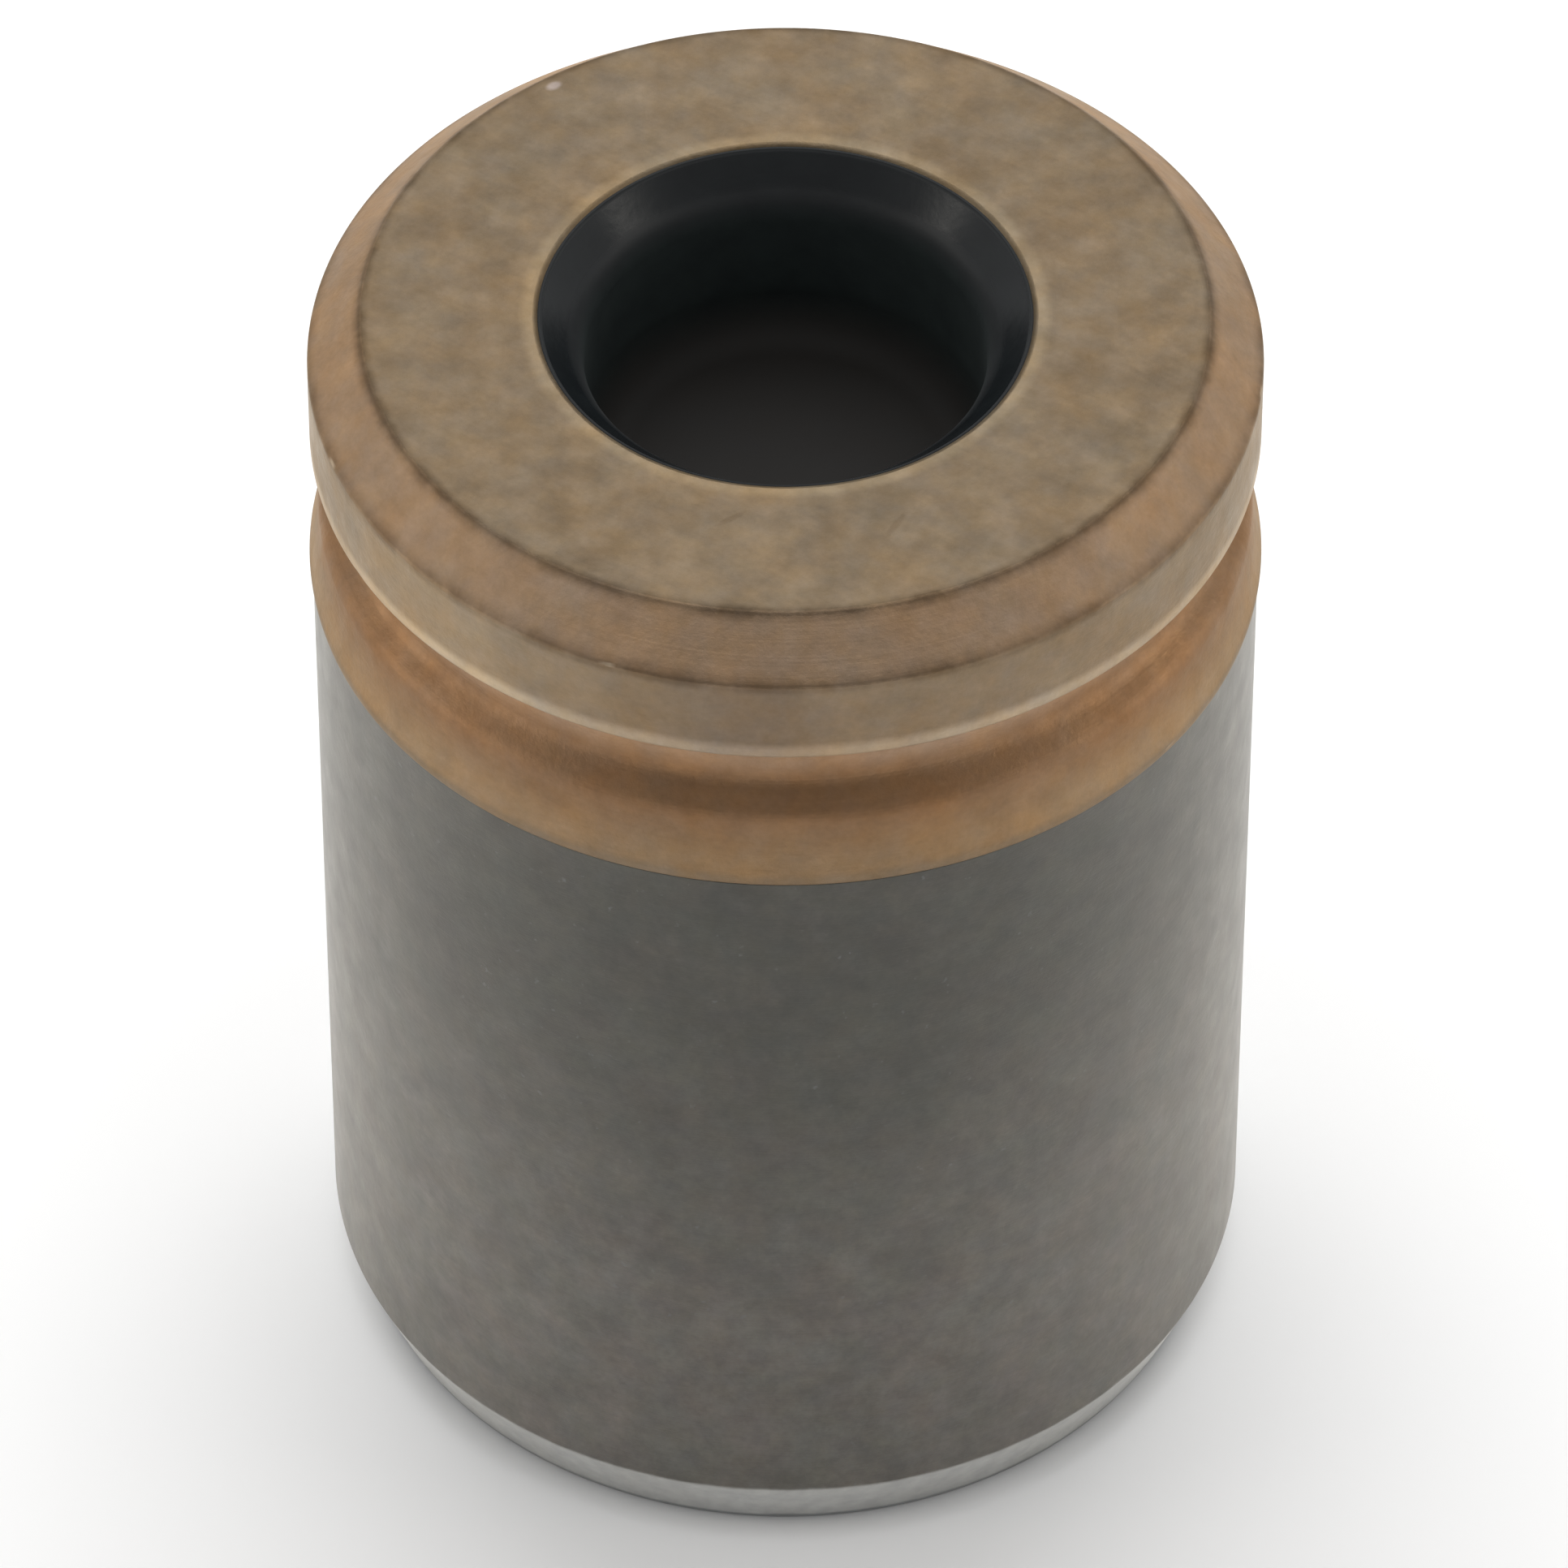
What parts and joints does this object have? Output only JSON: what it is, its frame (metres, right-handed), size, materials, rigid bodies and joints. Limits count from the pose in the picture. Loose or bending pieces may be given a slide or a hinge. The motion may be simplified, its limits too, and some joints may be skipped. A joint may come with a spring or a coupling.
{
  "type": "composite sleeve bushing",
  "caption": "Cylindrical bronze sleeve bushing with a grooved and chamfered head, a ground steel outer sleeve and a blind black bearing cup in its face.",
  "frame": {"origin": "on the axis at the bottom end, the end with the long lead-in", "axes": "+Z along the bushing's axis, from the lead-in end to the grooved head; X and Y are free, because the bushing is round"},
  "size_m": [0.0382, 0.0382, 0.0518],
  "materials": {
    "bronze": "turned bronze, dull brown",
    "ground_steel": "ground grey steel, satin",
    "black_lining": "moulded black lining, glossy"
  },
  "bodies": {
    "root": {"bronze_body": "bronze", "steel_sleeve": "ground_steel", "bearing_cup": "black_lining"}
  },
  "joints": []
}
